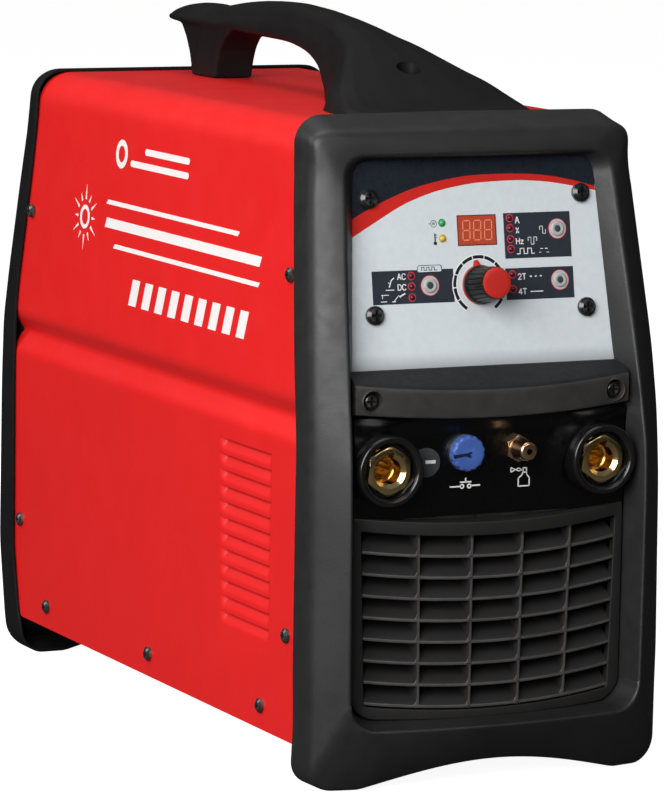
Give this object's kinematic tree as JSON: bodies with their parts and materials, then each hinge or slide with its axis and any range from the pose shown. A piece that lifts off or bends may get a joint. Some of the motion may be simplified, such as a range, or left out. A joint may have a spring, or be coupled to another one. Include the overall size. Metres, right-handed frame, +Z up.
{
  "type": "tig welder",
  "caption": "Portable TIG welding power source: red steel cover between black moulded bezels, leaning control panel, weld sockets, gas outlet, louvred grille and top handle.",
  "frame": {"origin": "on the floor plane, under the middle of the whole machine's bounding box", "axes": "+Z up, -Y out of the front with the controls and sockets, +X to the right seen from the front"},
  "size_m": [0.1958, 0.4396, 0.3705],
  "materials": {
    "red_powder_coat": "satin, fine orange-peel",
    "black_housing_plastic": "fine moulded grain",
    "black_gloss_plastic": "semi-gloss",
    "black_fan_plastic": "semi-matte",
    "blued_screw_steel": "black oxide",
    "zinc_steel": "zinc plated",
    "panel_aluminium": "satin",
    "panel_print": "printed polyester film",
    "brass_contact": "machined",
    "brass_gas": "machined",
    "blue_cap": "moulded",
    "red_knob_plastic": "satin",
    "red_lens": "tinted window",
    "led_red_epoxy": "diffused",
    "led_green_epoxy": "diffused",
    "led_yellow_epoxy": "diffused",
    "button_plastic": "moulded",
    "badge_plastic": "moulded",
    "circuit_board": "solder mask",
    "heatsink_aluminium": "extruded",
    "module_plastic": "moulded",
    "capacitor_sleeve": "shrink sleeve",
    "ferrite": "sintered",
    "copper_winding": "enamelled copper",
    "hose_rubber": "smooth",
    "cord_rubber": "matt jacket",
    "chrome_wire": "plated wire"
  },
  "bodies": {
    "root": {"front_bezel": "black_housing_plastic", "rear_bezel": "black_housing_plastic", "cover": "red_powder_coat", "cover_screws": "blued_screw_steel", "base_tray": "zinc_steel", "front_frame": "zinc_steel", "rear_panel": "zinc_steel", "handle": "black_housing_plastic", "handle_screws": "zinc_steel", "connector_fascia": "black_gloss_plastic", "crossbar": "black_housing_plastic", "crossbar_screws": "blued_screw_steel", "control_plate": "panel_aluminium", "panel_film": "panel_print", "panel_screws": "blued_screw_steel", "display_window": "red_lens", "display_module": "module_plastic", "leds_red": "led_red_epoxy", "led_green": "led_green_epoxy", "led_yellow": "led_yellow_epoxy", "button_switches": "module_plastic", "encoder_body": "zinc_steel", "control_board": "circuit_board", "socket_collars": "black_gloss_plastic", "socket_minus": "brass_contact", "socket_plus": "brass_contact", "polarity_badge": "badge_plastic", "trigger_connector": "zinc_steel", "gas_outlet": "brass_gas", "front_grille": "black_housing_plastic", "fan_frame": "black_fan_plastic", "fan_guard": "chrome_wire", "fan_screws": "zinc_steel", "switch_body": "black_gloss_plastic", "cable_gland": "black_housing_plastic", "mains_cord": "cord_rubber", "gas_inlet": "brass_gas", "solenoid_valve": "brass_gas", "gas_hoses": "hose_rubber", "power_board": "circuit_board", "heatsink_primary": "heatsink_aluminium", "heatsink_secondary": "heatsink_aluminium", "power_modules": "module_plastic", "capacitors": "capacitor_sleeve", "transformer_core": "ferrite", "transformer_winding": "copper_winding", "output_choke": "copper_winding", "hf_coil": "copper_winding", "busbars": "copper_winding"},
    "knob": {"knob_body": "black_gloss_plastic", "knob_cap": "red_knob_plastic", "knob_pointer": "red_knob_plastic", "knob_shaft": "zinc_steel"},
    "process_button": {"button_process": "button_plastic"},
    "parameter_button": {"button_parameter": "button_plastic"},
    "trigger_button": {"button_trigger": "button_plastic"},
    "fan": {"fan_rotor": "black_fan_plastic"},
    "main_switch": {"switch_knob": "red_knob_plastic"},
    "dust_cap": {"trigger_cap": "blue_cap"},
    "valve_plunger": {"solenoid_plunger": "zinc_steel"}
  },
  "joints": [
    {"name": "knob_turn", "type": "hinge", "parent": "root", "child": "knob", "pos_m": [0, -0.18287, 0.24427], "axis": [0, -0.9867, 0.1628], "range_deg": [-158, 142]},
    {"name": "process_press", "type": "slide", "parent": "root", "child": "process_button", "axis": [0, 0.9867, -0.1628], "range_m": [0, 0.0008]},
    {"name": "parameter_press", "type": "slide", "parent": "root", "child": "parameter_button", "axis": [0, 0.9867, -0.1628], "range_m": [0, 0.0008]},
    {"name": "trigger_press", "type": "slide", "parent": "root", "child": "trigger_button", "axis": [0, 0.9867, -0.1628], "range_m": [0, 0.0008]},
    {"name": "fan_spin", "type": "hinge", "parent": "root", "child": "fan", "pos_m": [0, 0.1543, 0.108], "axis": [0, 1, 0], "continuous": true},
    {"name": "main_switch_turn", "type": "hinge", "parent": "root", "child": "main_switch", "pos_m": [-0.038, 0.1773, 0.217], "axis": [0, 1, 0], "range_deg": [0, 90]},
    {"name": "dust_cap_pull", "type": "slide", "parent": "root", "child": "dust_cap", "axis": [0, -1, 0], "range_m": [0, 0.015]},
    {"name": "valve_lift", "type": "slide", "parent": "root", "child": "valve_plunger", "axis": [0, 0, 1], "range_m": [0, 0.002]}
  ]
}
